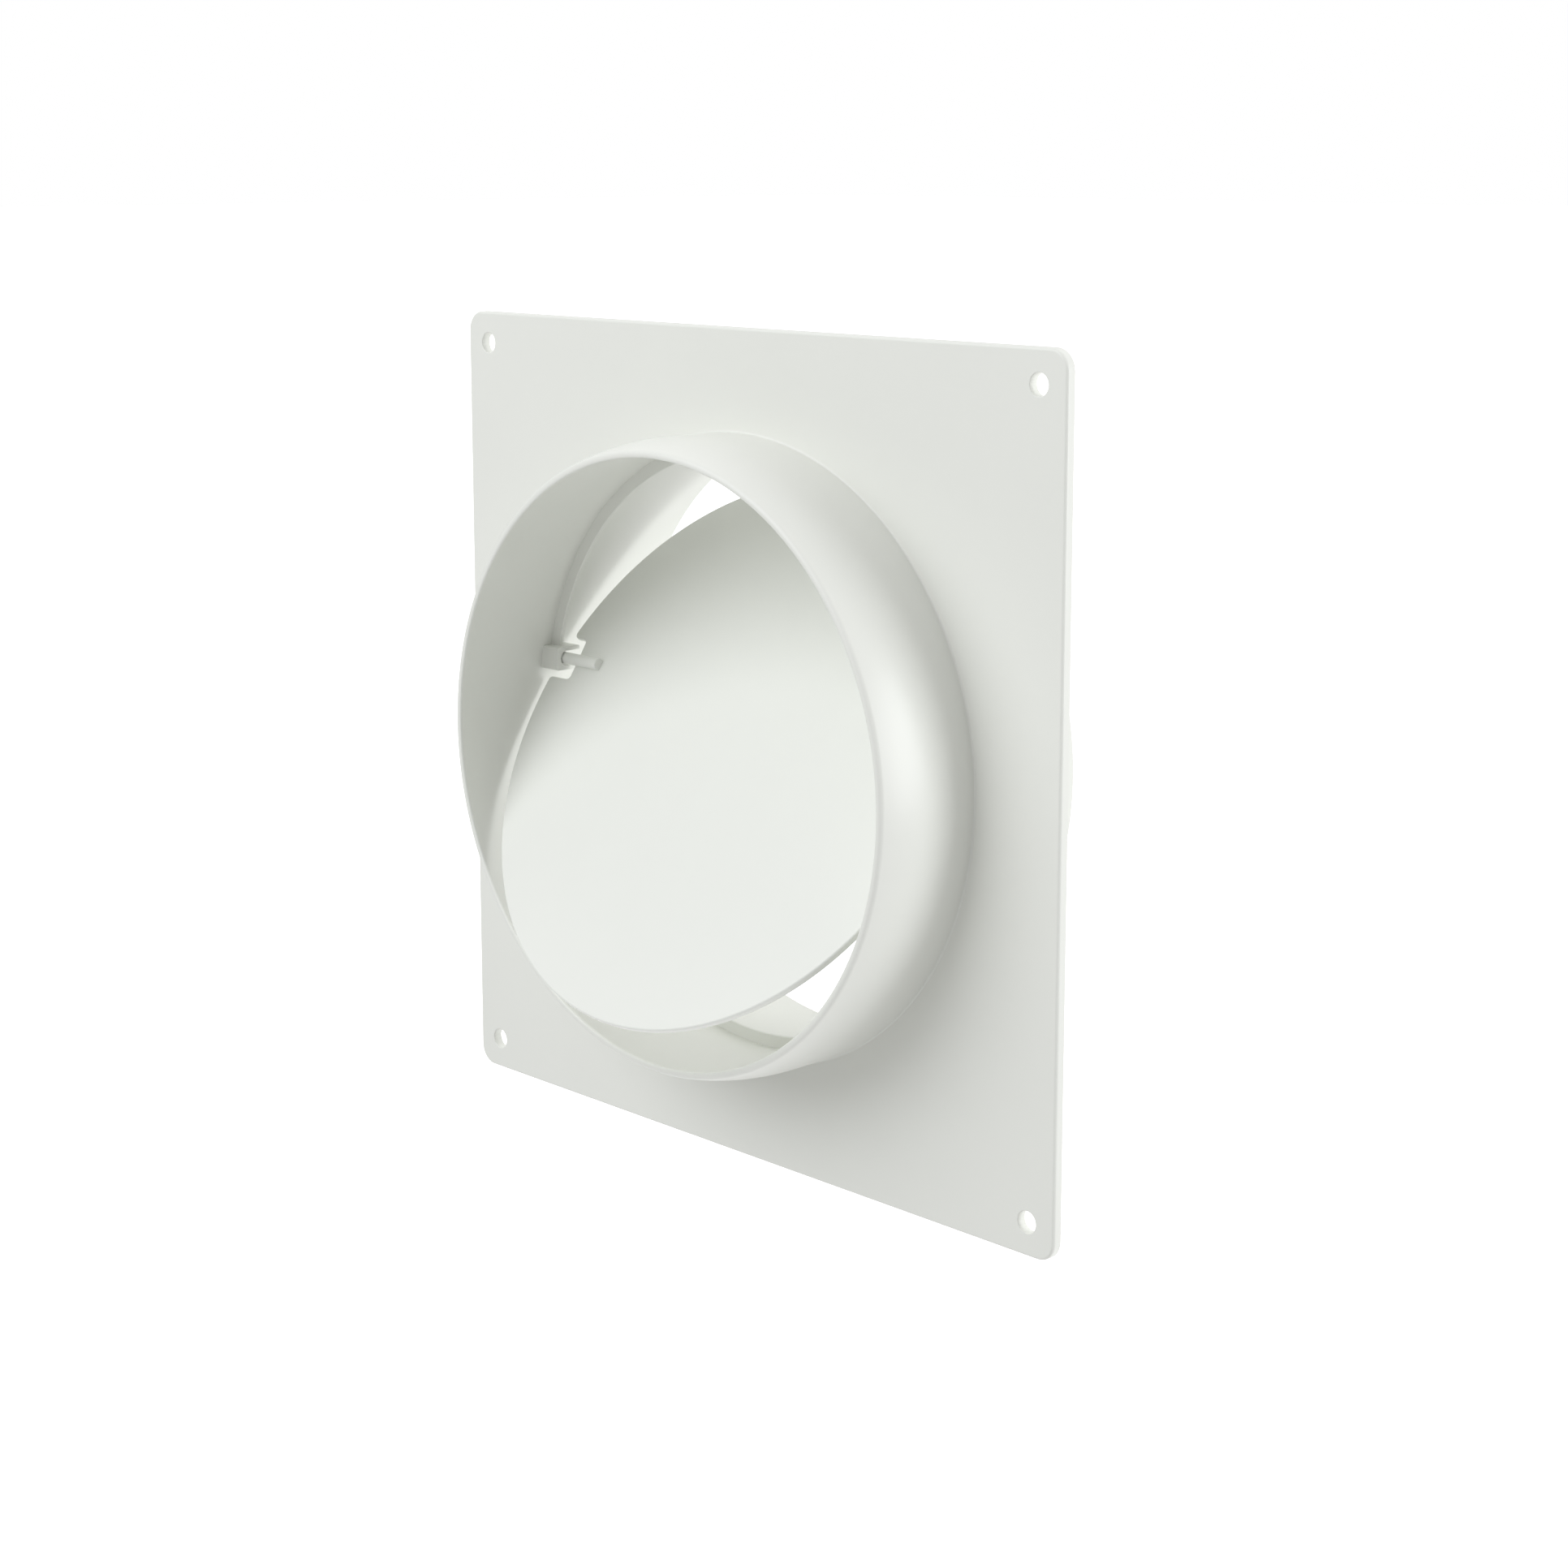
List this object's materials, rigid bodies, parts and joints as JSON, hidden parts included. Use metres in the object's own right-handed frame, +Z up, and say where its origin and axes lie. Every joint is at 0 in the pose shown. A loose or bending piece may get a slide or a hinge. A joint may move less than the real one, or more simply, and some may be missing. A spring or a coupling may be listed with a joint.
{
  "type": "duct connector with damper",
  "caption": "Square white plastic wall plate with a round duct spigot on its front, a sleeve on its back and a disc flap that swings on stub pins inside the bore to stop air flowing back.",
  "frame": {"origin": "on the duct axis, in the plate's back face, at the centre of the four screw holes", "axes": "+X to the right along the plate seen from the spigot, +Y along the duct axis into the wall, +Z up"},
  "size_m": [0.165, 0.0649, 0.165],
  "materials": {
    "white_moulding": "moulded semi-gloss",
    "white_flap": "moulded semi-gloss"
  },
  "bodies": {
    "connector": {"wall_plate_spigot": "white_moulding"},
    "flap": {"damper_flap": "white_flap"}
  },
  "joints": [
    {"name": "flap_swing", "type": "hinge", "parent": "connector", "child": "flap", "pos_m": [0, 0.0006, 0.011], "axis": [-1, 0, 0], "range_deg": [-33, 52]}
  ]
}
